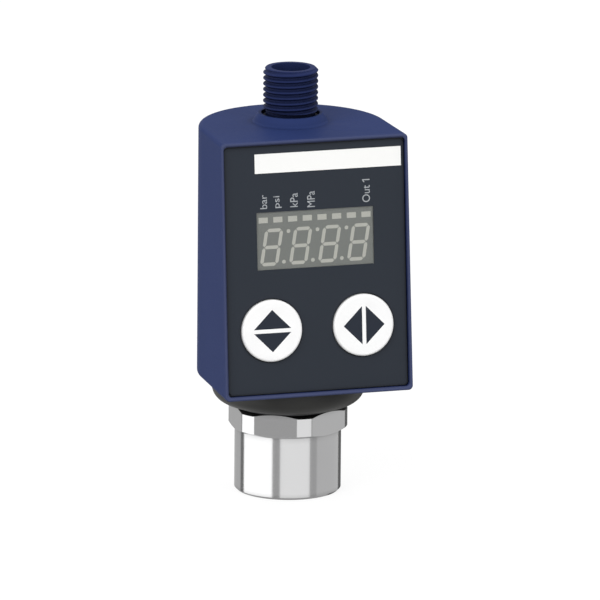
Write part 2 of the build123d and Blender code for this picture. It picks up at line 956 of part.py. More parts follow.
def make_plunger(x, y):
    """Plunger of the switch, which travels with the key."""
    return face_disc(x, y, plunger_radius, plunger_front - plunger_height, plunger_front)


def make_switch(x, y):
    """Square switch body with a well for its plunger."""
    body = face_slab(x, y, switch_size, switch_size, board_front, switch_front)
    well_floor = plunger_front - plunger_height - key_travel - 2 * running_clearance
    return body - face_disc(x, y, plunger_radius + running_clearance, well_floor, switch_front)


def make_parts():
    """Every sub-part of the sensor by name."""
    slip_top = slip_washer_bottom + slip_washer_thickness
    parts = {
        "process_port": make_process_port(),
        "stop_pin": stop_pin_shape(),
        "thrust_washer": ring(bearing_radius, thrust_washer_radius, hexagon_top, collar_bottom),
        "cell_seal": make_cell_seal(),
        "pressure_cell": make_pressure_cell(),
        "cell_clamp_ring": make_clamp_ring(),
        "cell_pins": make_cell_pins(),
        "cell_board": make_cell_board(),
        "signal_chip": make_signal_chip(),
        "lead_plug": make_lead_plug(),
        "slip_washer": ring(bearing_radius, slip_washer_radius, slip_washer_bottom, slip_top),
        "retaining_ring": make_retaining_ring(),
        "base_collar": make_base_collar(),
        "neck_seal": make_neck_seal(),
        "housing": make_housing(),
        "connector_shell": make_connector_shell(),
        "connector_seal": make_connector_seal(),
        "contact_carrier": make_contact_carrier(),
        "contact_pins": make_contact_pins(),
        "front_label": make_front_label(),
        "marking_strip": make_marking_strip(),
        "display_window": make_display_window(),
        "front_plate": make_front_plate(),
        "display_module": make_display_module(),
        "digit_segments": make_digit_segments(),
        "digit_dots": make_digit_dots(),
        "unit_bars": make_unit_bars(),
        "display_board": make_display_board(),
        "board_screws": make_board_screws(),
        "main_board": make_main_board(),
        "board_header": make_board_header(),
        "board_pins": make_board_pins(),
        "processor_chip": make_processor_chip(),
        "signal_lead": make_signal_lead(),
    }
    for side, (x, y) in key_places().items():
        parts[side + "_key"] = make_key(side, x, y)
        parts[side + "_key_arrows"] = make_key_arrows(side, x, y)
        parts[side + "_key_gasket"] = make_gasket(x, y)
        parts[side + "_plunger"] = make_plunger(x, y)
        parts[side + "_switch"] = make_switch(x, y)
    return parts


os.makedirs("parts", exist_ok=True)
for name, shape in make_parts().items():
    export_step(shape, f"parts/{name}.step")
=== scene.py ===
# %% [markdown]
# # A pressure sensor with a digit display
#
# The sensor stands on its steel port. A blue moulded head turns on that port, and carries a slate
# coloured front with a display and two round keys, and a threaded plug on top. The solids come
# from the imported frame, already in place and at their real size. This lesson gives each of them
# its finish, rebuilds the two pieces that carry a fine thread, prints the small marks over the
# display, and sets up a studio like the one the sensor was photographed in.

# %% Load the frame
import json
import math

import bmesh
import bpy
from mathutils import Matrix, Vector

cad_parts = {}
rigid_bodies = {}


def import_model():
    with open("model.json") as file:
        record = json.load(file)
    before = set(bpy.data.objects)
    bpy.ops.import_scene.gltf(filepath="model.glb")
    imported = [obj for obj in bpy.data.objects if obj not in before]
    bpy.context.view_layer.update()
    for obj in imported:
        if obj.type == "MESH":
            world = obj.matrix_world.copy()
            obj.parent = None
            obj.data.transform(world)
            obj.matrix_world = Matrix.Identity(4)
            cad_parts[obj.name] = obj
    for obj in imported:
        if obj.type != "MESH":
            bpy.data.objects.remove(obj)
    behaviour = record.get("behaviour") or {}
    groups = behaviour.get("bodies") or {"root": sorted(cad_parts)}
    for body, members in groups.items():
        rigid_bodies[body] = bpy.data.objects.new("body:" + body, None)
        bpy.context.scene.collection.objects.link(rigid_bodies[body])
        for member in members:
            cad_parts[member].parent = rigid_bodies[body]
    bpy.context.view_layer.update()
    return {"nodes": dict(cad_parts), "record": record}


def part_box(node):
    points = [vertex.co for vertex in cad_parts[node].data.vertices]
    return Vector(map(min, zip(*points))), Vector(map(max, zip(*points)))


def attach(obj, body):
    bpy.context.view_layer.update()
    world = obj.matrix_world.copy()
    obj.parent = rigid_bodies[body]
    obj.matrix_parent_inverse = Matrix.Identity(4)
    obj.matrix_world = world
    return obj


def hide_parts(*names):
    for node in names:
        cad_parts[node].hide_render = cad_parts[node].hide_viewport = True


for leftover in list(bpy.data.objects):
    bpy.data.objects.remove(leftover)

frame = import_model()
nodes = frame["nodes"]
slots = {part["node"]: part["material_slot"] for part in frame["record"]["subparts"]}

MM = 0.001


# %% [markdown]
# Colours are written as they are picked on a screen, and Blender's shaders want them linear, so
# one function does that. A second one adds a node to any tree, sets its properties and links its
# inputs. Every finish, the studio and the thread below are built with these two. A third one
# puts a mesh, a lamp or the camera into the scene.

# %% Helpers for colours, nodes and objects
def linear(code):
    """Linear colour with alpha from an sRGB hex code."""
    channels = [int(code[i : i + 2], 16) / 255 for i in (1, 3, 5)]
    return [c / 12.92 if c <= 0.04045 else ((c + 0.055) / 1.055) ** 2.4 for c in channels] + [1.0]


def add_node(tree, kind, links=None, **settings):
    """Add a node, set its properties, then set or link the inputs given by name or number."""
    node = tree.nodes.new(kind)
    for name, value in settings.items():
        setattr(node, name, value)
    for key, value in (links or {}).items():
        if isinstance(value, bpy.types.NodeSocket):
            tree.links.new(value, node.inputs[key])
        else:
            node.inputs[key].default_value = value
    return node


def new_object(name, data):
    """Object for a mesh, a text, a lamp or a camera, linked to the scene, at the origin."""
    made = bpy.data.objects.new(name, data)
    bpy.context.scene.collection.objects.link(made)
    return made


print("white is", linear("#FFFFFF"), "and the middle grey is", round(linear("#808080")[0], 3))


# %% [markdown]
# The photograph was taken from far away with a long lens, a little from the left and from above,
# so upright edges stay almost parallel. The camera looks at a point half way up the sensor, from
# a direction given by two angles, and is rolled by half a degree.

# %% Camera
VIEW_AZIMUTH = -17.087
VIEW_ELEVATION = 13.72
VIEW_ROLL = 0.486
VIEW_DISTANCE = 2220.9 * MM
AIM_RIGHT = 2.411 * MM
AIM_HEIGHT = 41.945 * MM
LENS = 614.37


def direction(turn, height):
    """Unit vector towards an angle round the axis, from the front, and an angle of height, in radians."""
    level = math.cos(height)
    return Vector((math.sin(turn) * level, -math.cos(turn) * level, math.sin(height)))


azimuth, elevation = math.radians(VIEW_AZIMUTH), math.radians(VIEW_ELEVATION)
to_camera = direction(azimuth, elevation)
view_right = Vector((math.cos(azimuth), math.sin(azimuth), 0))
view_up = to_camera.cross(view_right)
aim = view_right * AIM_RIGHT + Vector((0, 0, AIM_HEIGHT))

camera = new_object("camera", bpy.data.cameras.new("camera"))
camera.data.lens = LENS
camera.data.sensor_width = 36
facing = Matrix((view_right, view_up, to_camera)).transposed().to_4x4()
camera.matrix_world = Matrix.Translation(aim + to_camera * VIEW_DISTANCE) @ facing @ Matrix.Rotation(
    math.radians(VIEW_ROLL), 4, "Z"
)
bpy.context.scene.camera = camera
bpy.context.scene.view_settings.view_transform = "Standard"
print("camera at", [round(v, 3) for v in camera.matrix_world.translation])


# %% [markdown]
# Bright steel shows what stands round it. In the photograph the round port is striped: white
# beside dark beside grey, which are the tall screens of a studio seen in it. So the sensor stands
# inside a ring of such screens that only reflections can see. Their edges are angles round the
# axis, counted from the camera, and each is twice the angle at which its stripe begins on the
# round steel.

# %% The ring of screens
RING_RADIUS = 1.0
RING_LOW = -0.8
RING_HIGH = 0.5
RING_SCREENS = [
    (-180, 0.56),
    (-138, 0.60),
    (-122, 0.20),
    (-109, 1.75),
    (-33, 0.50),
    (-16, 1.18),
    (49, 0.52),
    (66, 0.69),
    (142, 0.15),
]
RING_SOFTNESS = 1.2
RING_SIDES = 360


def ring_level(angle):
    """Brightness of the ring at an angle from the camera, in degrees, with soft edges."""
    level = RING_SCREENS[-1][1]
    for start, value in RING_SCREENS:
        blend = min(max((angle - start) / RING_SOFTNESS + 0.5, 0), 1)
        level += (value - level) * blend
    return level


ring_mesh = bpy.data.meshes.new("screens")
ring_points = []
for i in range(RING_SIDES):
    turn = azimuth + math.radians(i * 360 / RING_SIDES - 180)
    x, y = RING_RADIUS * math.sin(turn), -RING_RADIUS * math.cos(turn)
    ring_points += [(x, y, RING_LOW), (x, y, RING_HIGH)]
count = 2 * RING_SIDES
ring_faces = [(i, (i + 2) % count, (i + 3) % count, i + 1) for i in range(0, count, 2)]
ring_mesh.from_pydata(ring_points, [], ring_faces)
glow = ring_mesh.attributes.new("glow", "FLOAT", "FACE")
for i in range(RING_SIDES):
    glow.data[i].value = ring_level((i + 0.5) * 360 / RING_SIDES - 180)

screen_finish = bpy.data.materials.new("lit screens")
screen_finish.use_nodes = True
tree = screen_finish.node_tree
tree.nodes.clear()
level = add_node(tree, "ShaderNodeAttribute", attribute_name="glow")
lit = add_node(tree, "ShaderNodeEmission", {"Strength": level.outputs["Fac"]})
add_node(tree, "ShaderNodeOutputMaterial", {"Surface": lit.outputs[0]})
ring_mesh.materials.append(screen_finish)

screens = new_object("screens", ring_mesh)
screens.visible_camera = False
screens.visible_diffuse = False
screens.visible_shadow = False
screens.visible_transmission = False
print(len(RING_SCREENS), "screens on a ring of", RING_SIDES, "faces")


# %% [markdown]
# The rest of the studio is plain. The world is white where the camera, a reflection or a clear
# pane looks at it, which the Light Path node tells, and a little weaker as light, because lamps
# add the rest.

# %% World
WORLD_LIGHT = 0.75

world = bpy.data.worlds.new("studio")
bpy.context.scene.world = world
world.use_nodes = True
tree = world.node_tree
tree.nodes.clear()
path = add_node(tree, "ShaderNodeLightPath")
seen = path.outputs["Is Camera Ray"]
for ray in ("Is Glossy Ray", "Is Transmission Ray"):
    either = add_node(tree, "ShaderNodeMath", {0: seen, 1: path.outputs[ray]}, operation="MAXIMUM")
    seen = either.outputs[0]
strength = add_node(tree, "ShaderNodeMapRange", {"Value": seen, "To Min": WORLD_LIGHT, "To Max": 1.0})
sky = add_node(tree, "ShaderNodeBackground", {"Strength": strength.outputs[0]})
add_node(tree, "ShaderNodeOutputWorld", {"Surface": sky.outputs[0]})
print("world: 1.0 where it is seen,", WORLD_LIGHT, "as light")


# %% [markdown]
# Five square lamps give soft light from the front, from above and from behind, so that no side
# falls into the dark. With the world they give a surface that faces the camera about the
# brightness its colour is written with. They are hidden from reflections, which see the ring.

# %% Lamps
# Each lamp: angle from the camera round the axis, height angle, distance, side of its square, watts
LAMPS = {
    "front_left": (-35, 35, 1.1, 0.7, 6.6),
    "front_right": (50, 25, 1.2, 0.7, 4.6),
    "overhead": (160, 72, 1.1, 0.8, 1.0),
    "back_right": (125, 30, 1.2, 0.6, 2.5),
    "back_left": (-150, 30, 1.2, 0.6, 2.5),
}
for name, (turn, height, distance, side, watts) in LAMPS.items():
    lamp = bpy.data.lights.new(name, "AREA")
    lamp.energy = watts
    lamp.size = side
    holder = new_object(name, lamp)
    away = direction(azimuth + math.radians(turn), math.radians(height))
    holder.location = Vector((0, 0, AIM_HEIGHT)) + away * distance
    holder.rotation_euler = away.to_track_quat("Z", "Y").to_euler()
    holder.visible_glossy = False
print(len(LAMPS), "lamps with", round(sum(values[-1] for values in LAMPS.values()), 1), "watts")


# %% [markdown]
# The floor is a large pale sheet just under the port. Most of what the camera sees of it is its
# own white, and a fifth is real light, which leaves a faint shadow round the port. To everything
# else it is a grey that throws some light up, and reflections look through it to the ring below.

# %% Floor
FLOOR_HALF = 4.0
FLOOR_DROP = 0.02 * MM
FLOOR_OWN_WHITE = 0.8
FLOOR_BRIGHTNESS = 1.05

floor_mesh = bpy.data.meshes.new("floor")
corners = [(-FLOOR_HALF, -FLOOR_HALF, 0), (FLOOR_HALF, -FLOOR_HALF, 0), (FLOOR_HALF, FLOOR_HALF, 0)]
corners.append((-FLOOR_HALF, FLOOR_HALF, 0))
floor_mesh.from_pydata(corners, [], [(0, 1, 2, 3)])
floor_finish = bpy.data.materials.new("pale floor")
floor_finish.use_nodes = True
tree = floor_finish.node_tree
tree.nodes.clear()
path = add_node(tree, "ShaderNodeLightPath")
paper = add_node(tree, "ShaderNodeBsdfDiffuse", {"Color": linear("#F4F4F4")})
white = add_node(tree, "ShaderNodeEmission", {"Strength": FLOOR_BRIGHTNESS})
camera_tone = add_node(
    tree, "ShaderNodeMixShader", {0: FLOOR_OWN_WHITE, 1: paper.outputs[0], 2: white.outputs[0]}
)
grey = add_node(tree, "ShaderNodeBsdfDiffuse", {"Color": linear("#A0A0A0")})
floor_look = add_node(
    tree,
    "ShaderNodeMixShader",
    {0: path.outputs["Is Camera Ray"], 1: grey.outputs[0], 2: camera_tone.outputs[0]},
)
add_node(tree, "ShaderNodeOutputMaterial", {"Surface": floor_look.outputs[0]})
floor_mesh.materials.append(floor_finish)
floor = new_object("floor", floor_mesh)
floor.location.z = -FLOOR_DROP
floor.visible_glossy = False
print("floor", 2 * FLOOR_HALF, "m wide")


# %% [markdown]
# Every finish of the sensor has the same three parts. Its colour drifts a little over the surface, as no
# real one is even, and it gets painted shade in creases: the ambient occlusion shader tells how open a
# point is within a short reach, and that dims the colour as shade would. A pattern then lies on the
# surface as bump, and lets the roughness vary with it.

# %% Parts of a finish
# Painted shade in creases: how open a corner counts, a crease with no painted shade, and the rays that
# measure openness
OPEN_IN_A_CORNER = 0.3
NO_CREASE_SHADE = (0.1, 0.0)
OPENNESS_RAYS = 8


def shader_of(name, roughness, **sockets):
    """New material: its tree, its main shader and an Object coordinate node."""
    material = bpy.data.materials.new(name)
    material.use_nodes = True
    tree = material.node_tree
    shader = tree.nodes["Principled BSDF"]
    shader.inputs["Roughness"].default_value = roughness
    for socket, value in sockets.items():
        shader.inputs[socket.replace("_", " ")].default_value = value
    place = add_node(tree, "ShaderNodeTexCoord").outputs["Object"]
    return material, tree, shader, place


def drifting_colour_and_crease_shade(tree, shader, place, colour, other, patch, crease_shade):
    """Colour that wanders between two tones over patches of a size, with painted shade that darkens it in
    creases.
    """
    cloud = add_node(
        tree, "ShaderNodeTexNoise", {"Vector": place, "Scale": 1 / (patch * MM), "Detail": 3.0}
    )
    tone = add_node(
        tree,
        "ShaderNodeMix",
        {"Factor": cloud.outputs["Fac"], 6: linear(colour), 7: linear(other)},
        data_type="RGBA",
    )
    reach, shade_share = crease_shade
    # Painted shade: ambient occlusion dims the colour where the surface is closed in
    near = add_node(tree, "ShaderNodeAmbientOcclusion", {"Distance": reach * MM}, samples=OPENNESS_RAYS)
    level = add_node(
        tree,
        "ShaderNodeMapRange",
        {"Value": near.outputs["AO"], "From Min": OPEN_IN_A_CORNER, "To Min": 1 - shade_share, "To Max": 1.0},
    )
    shaded = add_node(
        tree, "ShaderNodeVectorMath", {0: tone.outputs[2], "Scale": level.outputs[0]}, operation="SCALE"
    )
    tree.links.new(shaded.outputs[0], shader.inputs["Base Color"])


def laid_on(tree, shader, pattern, depth, roughness, spread):
    """Lay a pattern on the surface as bump of a depth in millimetres, and vary the roughness by it."""
    bump = add_node(tree, "ShaderNodeBump", {"Height": pattern, "Distance": depth * MM, "Strength": 1.0})
    tree.links.new(bump.outputs["Normal"], shader.inputs["Normal"])
    sheen = add_node(
        tree,
        "ShaderNodeMapRange",
        {"Value": pattern, "To Min": roughness - spread, "To Max": roughness + spread},
    )
    tree.links.new(sheen.outputs[0], shader.inputs["Roughness"])


print("a corner counts as", OPEN_IN_A_CORNER, "open")


# %% [markdown]
# Most of the sensor is moulded. A mould leaves its own skin on plastic: a fine, even grain that
# breaks up highlights, and a tone that drifts by a few percent where the melt flowed. The real
# grain is about 0.05 mm, which would vanish here, so it is drawn several times coarser. Rubber
# and printed foil are the same kind of surface with other numbers.

# %% Moulded finishes
GRAIN = 0.3


def moulded(
    name,
    colour,
    other,
    roughness,
    grain=GRAIN,
    depth=0.004,
    spread=0.06,
    patch=14.0,
    crease_shade=(1.0, 0.4),
    **sockets,
):
    """Moulded surface. Grain, depth, patch and the reach of the painted crease shade are in millimetres.
    """
    material, tree, shader, place = shader_of(name, roughness, **sockets)
    drifting_colour_and_crease_shade(tree, shader, place, colour, other, patch, crease_shade)
    grains = add_node(
        tree, "ShaderNodeTexNoise", {"Vector": place, "Scale": 1 / (grain * MM), "Detail": 2.0}
    )
    laid_on(tree, shader, grains.outputs["Fac"], depth, roughness, spread)
    return material


finishes = {}
print("the grain is drawn at", GRAIN, "mm")


# %% [markdown]
# The case, the plug and the collar are the plastics that one sees from all sides. All three have a low
# specular level, because the sensor's plastic hardly mirrors its surroundings, and painted shade in
# creases that reaches some millimetres, which darkens the plug's thread grooves, its socket and the foot
# of the collar.

# %% Case, plug and collar
finishes |= {
    # PBT with a spark eroded grain: deep blue, satin, and nearly no clear highlight
    "housing_plastic": moulded(
        "moulded blue PBT", "#27345F", "#2A3763", 0.5, crease_shade=(2.0, 0.7), Specular_IOR_Level=0.045
    ),
    "connector_plastic": moulded(
        "moulded navy PBT", "#222B51", "#252F57", 0.5, crease_shade=(5.0, 0.95), Specular_IOR_Level=0.06
    ),
    # PPS with glass in it: black, hard, and a little shinier
    "collar_plastic": moulded(
        "moulded black PPS", "#30302F", "#363634", 0.42, crease_shade=(3.0, 0.8), Specular_IOR_Level=0.25
    ),
}
print(len(finishes), "finishes outside")


# %% [markdown]
# The pieces inside are left as they come from the mould, black or grey and matt. They show at the
# plug's socket and wherever someone opens the model.

# %% Pieces inside
finishes |= {
    "carrier_plastic": moulded("moulded black PA", "#0D0E14", "#101119", 0.5),
    "header_plastic": moulded("moulded black LCP", "#1F1F21", "#242426", 0.45),
    "chip_plastic": moulded("transfer moulded epoxy", "#1A1A1C", "#1E1E20", 0.55, grain=0.2),
    "plunger_plastic": moulded(
        "moulded black acetal", "#29292B", "#2D2D2F", 0.35, grain=0.4, depth=0.002
    ),
    "switch_plastic": moulded("moulded grey nylon", "#39393C", "#3E3E41", 0.5),
    "slip_plastic": moulded("filled PTFE", "#1D1D1F", "#242427", 0.4, grain=0.25, depth=0.002),
    # Fluoroelastomer is soft, so it takes the mould's surface as a dull, slightly uneven skin
    "seal_rubber": moulded(
        "black fluoroelastomer", "#151516", "#1A1A1B", 0.6, grain=0.5, depth=0.006, patch=4.0
    ),
    # Alumina is fired, so its skin is a fine even grit that hardly shines
    "cell_ceramic": moulded("white alumina ceramic", "#EAE6DB", "#E4E0D4", 0.65, grain=0.15, patch=3.0),
}
print(len(finishes), "finishes so far")


# %% [markdown]
# The front is a slate plate under a slate foil, with a plain white strip, two white keys that
# carry dark triangles, and the grey display.

# %% Front
finishes |= {
    "plate_plastic": moulded("moulded slate PC", "#2B2F36", "#2F333A", 0.5),
    # Keys are a glossier white PBT, with hardly any grain, so their edge catches a soft light
    "key_plastic": moulded("moulded white PBT", "#FAFAFA", "#F6F6F6", 0.32, grain=0.5, depth=0.0015),
    "arrow_plastic": moulded(
        "inlaid slate ABS", "#262B35", "#282D37", 0.45, depth=0.002, Specular_IOR_Level=0.15
    ),
    # Printed polyester foil has a fine haze that lights up evenly, with no highlight of its own
    "label_foil": moulded(
        "slate polyester foil",
        "#272C34",
        "#292E36",
        0.55,
        grain=0.25,
        depth=0.002,
        crease_shade=(0.8, 0.5),
        Specular_IOR_Level=0.2,
    ),
    "strip_foil": moulded("white polyester foil", "#F8F8F6", "#F5F5F3", 0.5, grain=0.25, depth=0.001),
    # The display's body is a light grey resin, and its segments are a paler one. Both lie right behind a
    # clear pane, which would count as a crease, so they get no painted crease shade
    "display_plastic": moulded(
        "grey filled PC", "#7A7D79", "#7D807C", 0.5, depth=0.002, crease_shade=NO_CREASE_SHADE, Specular_IOR_Level=0.3
    ),
    "light_segment": moulded(
        "milky epoxy resin", "#C8C8BF", "#C0C0B7", 0.35, grain=0.4, depth=0.001, crease_shade=NO_CREASE_SHADE
    ),
}
print(len(finishes), "moulded finishes")


# %% [markdown]
# The port is turned from stainless bar. A lathe tool leaves fine rings round the axis, so the
# reflection is clear across the part and slightly smeared up and down. The rings come from a
# noise that is stretched round the axis and squeezed along it: a ring each 0.08 mm would be real,
# and here they are 0.3 mm apart so that a few of them show. Small steel parts are stamped or
# drawn, and get the same finish with other numbers. Gold on the pins is a metal too.

# %% Metal finishes
# The pattern changes this often in a metre across the axis, so hardly at all over the port
CHANGES_ACROSS = 12.0


def turned(
    name,
    colour,
    other,
    roughness,
    ring=0.3,
    depth=0.0006,
    spread=0.03,
    patch=9.0,
    crease_shade=(1.5, 0.5),
):
    """Turned or drawn metal. Ring spacing, depth, patch and the reach of the painted crease shade are in
    millimetres.
    """
    material, tree, shader, place = shader_of(name, roughness, Metallic=1.0)
    drifting_colour_and_crease_shade(tree, shader, place, colour, other, patch, crease_shade)
    stretch = add_node(
        tree,
        "ShaderNodeMapping",
        {"Vector": place, "Scale": (CHANGES_ACROSS, CHANGES_ACROSS, 1 / (ring * MM))},
        vector_type="POINT",
    )
    rings = add_node(
        tree, "ShaderNodeTexNoise", {"Vector": stretch.outputs[0], "Scale": 1.0, "Detail": 2.0}
    )
    laid_on(tree, shader, rings.outputs["Fac"], depth, roughness, spread)
    return material


finishes["port_steel"] = turned("turned stainless steel", "#CBCBCB", "#C7C7C8", 0.13)
finishes["plain_steel"] = turned("bright drawn steel", "#BDBDBE", "#B4B4B6", 0.25)
finishes["spring_steel"] = turned("phosphated spring steel", "#4C4C50", "#424246", 0.45)
finishes["contact_metal"] = turned("gold plated bronze", "#D9B45E", "#D2AB52", 0.22)
print([name for name in finishes if finishes[name].name.endswith(("steel", "bronze"))], "are metal")


# %% [markdown]
# Three finishes are of their own kind. A circuit board is glass cloth under green lacquer, so
# its colour follows a fine weave. The lead is amber film over copper tracks that run along it.
# The pane over the display is a thin clear foil: it lets the display through and only adds a
# little haze, so it is mostly transparent, which also keeps the render free of noise.

# %% Board, film and pane
WEAVE_PITCH = 0.5
TRACK_PITCH = 0.6
# A wave texture repeats after this length when its scale is 1
WAVE_UNIT = 2 * math.pi / 20


def board_finish():
    """Green lacquer over woven glass, which shows as a fine check of two tones."""
    material, tree, shader, place = shader_of("green solder lacquer", 0.28, Coat_Weight=0.3)
    weave = add_node(
        tree,
        "ShaderNodeTexChecker",
        {
            "Vector": place,
            "Color1": linear("#1E5B38"),
            "Color2": linear("#226340"),
            "Scale": 1 / (WEAVE_PITCH * MM),
        },
    )
    tree.links.new(weave.outputs["Color"], shader.inputs["Base Color"])
    return material


def film_finish():
    """Amber film, darker where a copper track lies under it."""
    material, tree, shader, place = shader_of("amber polyimide film", 0.3)
    tracks = add_node(
        tree,
        "ShaderNodeTexWave",
        {"Vector": place, "Scale": WAVE_UNIT / (TRACK_PITCH * MM)},
        bands_direction="X",
    )
    tone = add_node(
        tree,
        "ShaderNodeMix",
        {"Factor": tracks.outputs["Fac"], 6: linear("#A8651F"), 7: linear("#C98638")},
        data_type="RGBA",
    )
    tree.links.new(tone.outputs[2], shader.inputs["Base Color"])
    return material


finishes["circuit_board"] = board_finish()
finishes["lead_film"] = film_finish()
finishes["window_clear"] = moulded(
    "clear polyester foil", "#8A8D8C", "#8D908F", 0.5, depth=0.001, Alpha=0.10, Specular_IOR_Level=0.2
)

for name, node in nodes.items():
    for material_slot in node.material_slots:
        material_slot.material = finishes[slots[name]]
print(len(finishes), "finishes for", len(set(slots.values())), "slots")


# %% [markdown]
# The solids arrive as loose triangles, each shaded flat. A copy whose corners are merged can be
# shaded smooth, with an edge kept sharp where two faces meet at more than 30 degrees. Large flat
# faces would still bend the light near a small radius, so a weighted normal modifier lets the
# larger face decide. The copy stands for the solid, and its form is exactly the solid's.

# %% Smooth copies of the moulded pieces
MERGE_DISTANCE = 1e-6
SHARP_ANGLE = math.radians(30)
SMOOTH_NODES = [
    "housing",
    "base_collar",
    "front_label",
    "left_key",
    "right_key",
    "neck_seal",
    "cell_seal",
    "connector_seal",
    "slip_washer",
    "contact_carrier",
    "contact_pins",
    "pressure_cell",
    "cell_clamp_ring",
    "cell_pins",
    "stop_pin",
    "retaining_ring",
    "board_screws",
    "left_plunger",
    "right_plunger",
]


def body_of_node(name):
    """Body that carries a node, by the record."""
    return next(body for body, names in frame["record"]["behaviour"]["bodies"].items() if name in names)


def stand_in(piece, name):
    """Make a piece ride with the body of the node that it replaces, in that node's finish, and hide that
    node.
    """
    piece.data.materials.clear()
    piece.data.materials.append(finishes[slots[name]])
    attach(piece, body_of_node(name))
    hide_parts(name)


def close_and_smooth(bm, name):
    """Merge a skin's corners, turn its faces outwards and shade it smooth up to a sharp angle."""
    bmesh.ops.remove_doubles(bm, verts=bm.verts, dist=MERGE_DISTANCE)
    bmesh.ops.dissolve_degenerate(bm, edges=bm.edges, dist=MERGE_DISTANCE)
    bmesh.ops.recalc_face_normals(bm, faces=bm.faces)
    mesh = bpy.data.meshes.new(name)
    bm.to_mesh(mesh)
    bm.free()
    mesh.shade_smooth()
    mesh.set_sharp_from_angle(angle=SHARP_ANGLE)
    return mesh


for name in SMOOTH_NODES:
    bm = bmesh.new()
    bm.from_mesh(nodes[name].data)
    piece = new_object(name + "_smooth", close_and_smooth(bm, name + "_smooth"))
    weighted = piece.modifiers.new("weighted normals", "WEIGHTED_NORMAL")
    weighted.keep_sharp = True
    stand_in(piece, name)
print(len(SMOOTH_NODES), "smooth copies")


# %% [markdown]
# The pane over the display lies flat on it, so its back and the display's face are the same
# plane. Two surfaces in one plane leave it to chance which of them is seen first, and a clear
# pane would then show blotches. The thrust washer and the collar that turns on it share a plane
# too. A copy of each with that side drawn in by a hundredth or two leaves a film of air, which is
# what such pieces really have between them.

# %% Pieces with a film of air
FACE_TILT = math.radians(5.6)
FACE_ORIGIN = Vector((0, -23.23, 27.03))
PANE_FILM = 0.02
WASHER_FILM = 0.01
across = Vector((1, 0, 0))
upward = Vector((0, math.sin(FACE_TILT), math.cos(FACE_TILT)))
outward = Vector((0, -math.cos(FACE_TILT), math.sin(FACE_TILT)))


def drawn_in(name, side, film):
    """Smooth copy of a flat node, with the face on one side moved in by a film in millimetres."""
    bm = bmesh.new()
    bm.from_mesh(nodes[name].data)
    heights = [corner.co.dot(side) for corner in bm.verts]
    middle = (min(heights) + max(heights)) / 2
    for corner in bm.verts:
        if corner.co.dot(side) > middle:
            corner.co -= side * film * MM
    piece = new_object(name + "_drawn_in", close_and_smooth(bm, name + "_drawn_in"))
    stand_in(piece, name)
    print(name, round((max(heights) - min(heights)) / MM - film, 3), "mm thick")


drawn_in("display_window", -outward, PANE_FILM)
drawn_in("thrust_washer", Vector((0, 0, 1)), WASHER_FILM)


# %% [markdown]
# A pale line runs round the front: a painted highlight on the rim of the case, where its rounded edge
# would catch the light, so the plastic there is coloured greyer than on its grained sides. The line
# follows from the place alone. How far out a point lies is its dot product with the face's own normal,
# and over the last half millimetre in front the colour turns to the paler, painted highlight one.

# %% Painted highlight on the rim of the case
RIM_HIGHLIGHT_DEPTH = 0.5
# Painted highlight: a paler, greyer blue on the front rim, where a rounded edge would catch the light
RIM_HIGHLIGHT_COLOUR = "#434A6A"
tree = finishes["housing_plastic"].node_tree
shader = tree.nodes["Principled BSDF"]
front = FACE_ORIGIN.dot(outward)
place = add_node(tree, "ShaderNodeTexCoord").outputs["Object"]
reach = add_node(tree, "ShaderNodeVectorMath", {0: place, 1: outward}, operation="DOT_PRODUCT")
rim_highlight_mask = add_node(
    tree,
    "ShaderNodeMapRange",
    {"Value": reach.outputs["Value"], "From Min": (front - RIM_HIGHLIGHT_DEPTH) * MM, "From Max": front * MM},
)
grained = shader.inputs["Base Color"].links[0].from_socket
painted_rim_highlight = add_node(
    tree,
    "ShaderNodeMix",
    {"Factor": rim_highlight_mask.outputs[0], 6: grained, 7: linear(RIM_HIGHLIGHT_COLOUR)},
    data_type="RGBA",
)
tree.links.new(painted_rim_highlight.outputs[2], shader.inputs["Base Color"])
print("rim begins", round(front - RIM_HIGHLIGHT_DEPTH, 2), "mm out along the face's normal")


# %% [markdown]
# Two pieces carry a screw thread: the plug on top and the bore of the port. A thread follows a
# rule, so one Geometry Nodes tree makes both, and it has an input for each size. A male thread
# has its root inside its crest, so its side is +1, and a female one has -1. The mouth is the end
# with the chamfer. The rim is a ring at the low end, which joins the thread to the other skin.

# %% Inputs of the thread
THREAD_INPUTS = {
    "Turns": ("NodeSocketInt", 8),
    "Side": ("NodeSocketFloat", 1.0),
    "Crest Radius": ("NodeSocketFloat", 0.006),
    "Depth": ("NodeSocketFloat", 0.0005),
    "Pitch": ("NodeSocketFloat", 0.001),
    "Phase": ("NodeSocketFloat", 0.0),
    "Gain": ("NodeSocketFloat", 0.5),
    "Low": ("NodeSocketFloat", 0.0),
    "High": ("NodeSocketFloat", 0.01),
    "Run Out": ("NodeSocketFloat", 0.0001),
    "Rim Radius": ("NodeSocketFloat", 0.006),
    "Mouth Radius": ("NodeSocketFloat", 0.006),
    "Mouth Height": ("NodeSocketFloat", 0.01),
    "Material": ("NodeSocketMaterial", None),
}
print("a thread has", len(THREAD_INPUTS), "inputs")


# %% [markdown]
# A flat grid is rolled into a tube, and its rows are laid along the helix: the height grows by
# one pitch in a turn. The radius then swings between crest and root as a clipped cosine, whose
# gain sets how flat the crests are. A cone at the mouth cuts the crests away, as the chamfer
# does, and a run-out lets the groove end gently. All that is a list of sums, each with a name, an
# operation and its terms: inputs, the grid's X and Y, earlier sums or numbers.

# %% Sums of the thread
ROWS_PER_TURN = 12
COLUMNS = 240

